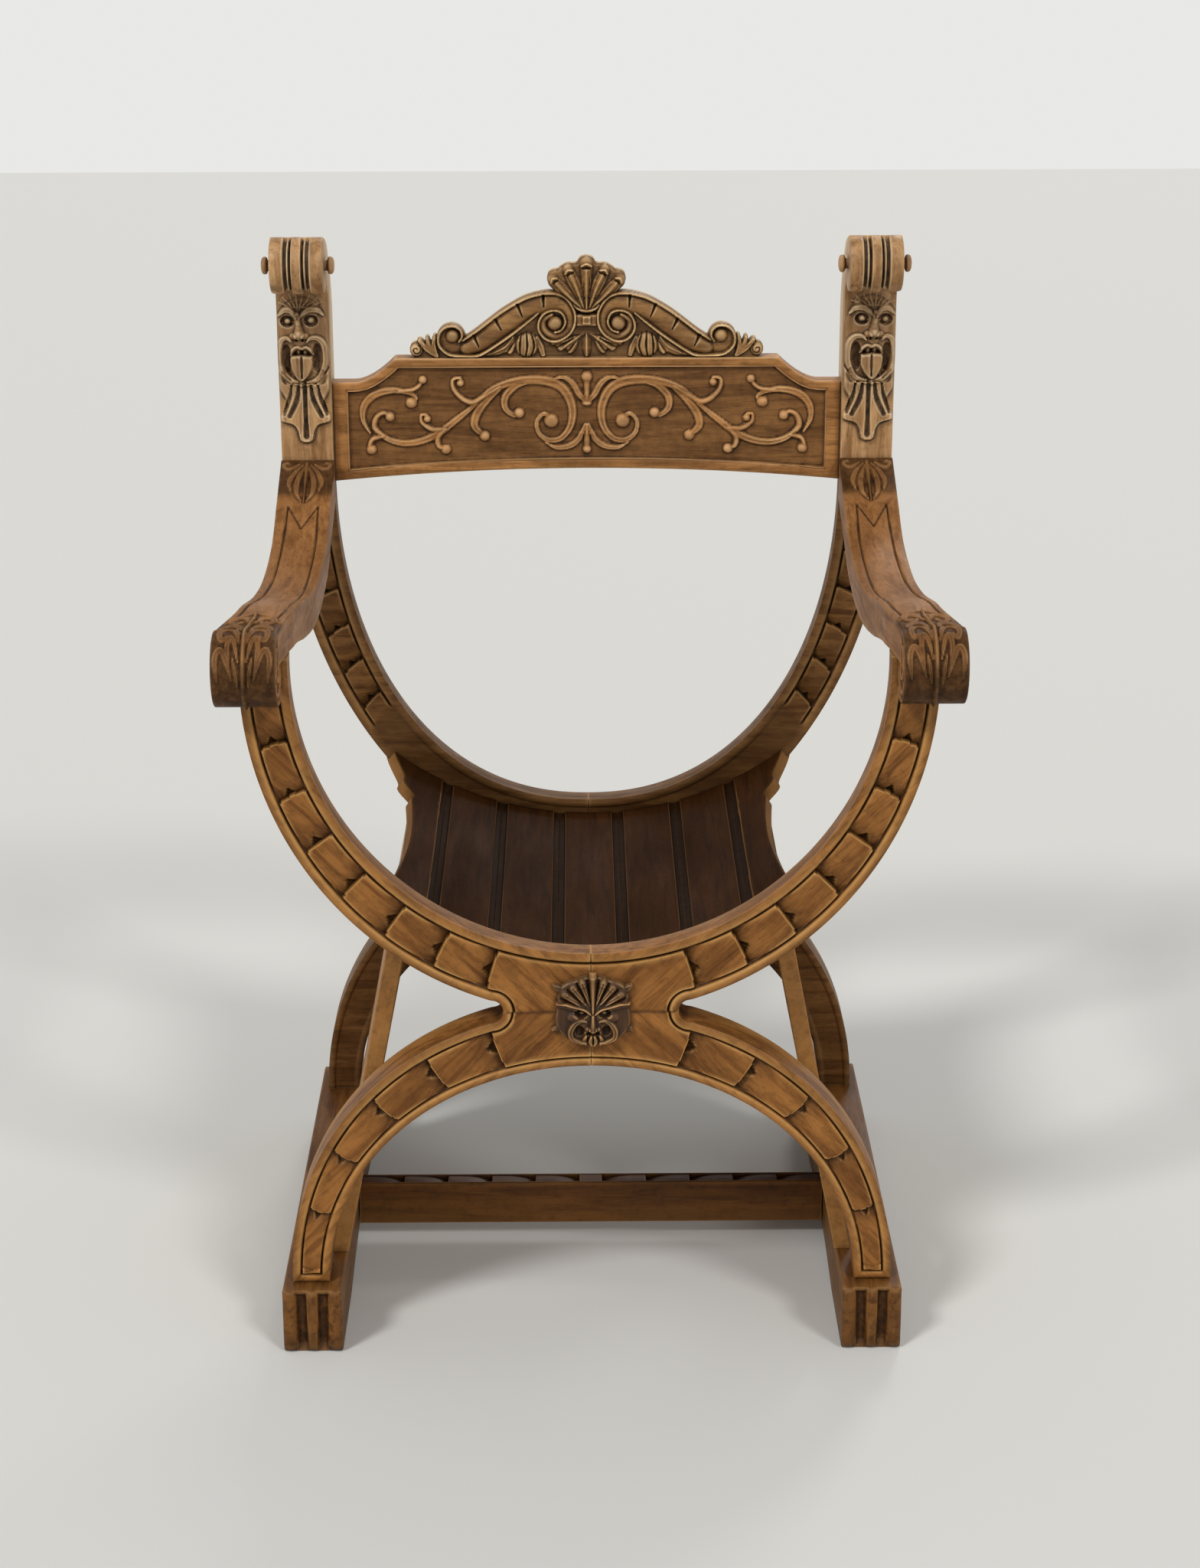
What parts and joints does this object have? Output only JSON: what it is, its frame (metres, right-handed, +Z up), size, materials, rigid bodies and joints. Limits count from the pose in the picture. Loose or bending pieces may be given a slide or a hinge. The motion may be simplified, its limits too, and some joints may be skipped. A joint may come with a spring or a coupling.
{
  "type": "savonarola chair",
  "caption": "Rigid carved walnut X-frame armchair with arched front and rear frames, dished stave seat, scrolled arms, mask-carved posts and a pedimented back rail on runner feet.",
  "frame": {"origin": "on the floor under the middle of the chair's overall box", "axes": "+X to the right as seen from the front, +Y towards the back, +Z up"},
  "size_m": [0.6914, 0.58, 1.044],
  "materials": {
    "walnut_frame": "waxed",
    "walnut_arm": "polished",
    "walnut_seat": "satin",
    "walnut_carved": "waxed",
    "beech_dowel": "plain"
  },
  "bodies": {
    "root": {"foot_left": "walnut_frame", "front_leg_left": "walnut_frame", "rear_leg_left": "walnut_frame", "front_arc_left": "walnut_frame", "rear_arc_left": "walnut_frame", "side_board_left": "walnut_frame", "arm_left": "walnut_arm", "post_left": "walnut_carved", "foot_right": "walnut_frame", "front_leg_right": "walnut_frame", "rear_leg_right": "walnut_frame", "front_arc_right": "walnut_frame", "rear_arc_right": "walnut_frame", "side_board_right": "walnut_frame", "arm_right": "walnut_arm", "post_right": "walnut_carved", "volute_buttons": "walnut_carved", "crest_rail": "walnut_frame", "crest_pediment": "walnut_carved", "seat_stave_1": "walnut_seat", "seat_stave_2": "walnut_seat", "seat_stave_3": "walnut_seat", "seat_stave_4": "walnut_seat", "seat_stave_5": "walnut_seat", "seat_stave_6": "walnut_seat", "seat_stave_7": "walnut_seat", "stretcher": "walnut_frame", "centre_mask": "walnut_carved", "centre_dowels": "beech_dowel", "seam_dowels": "beech_dowel", "arm_dowels": "beech_dowel", "post_dowels": "beech_dowel", "pediment_dowels": "beech_dowel"}
  },
  "joints": []
}
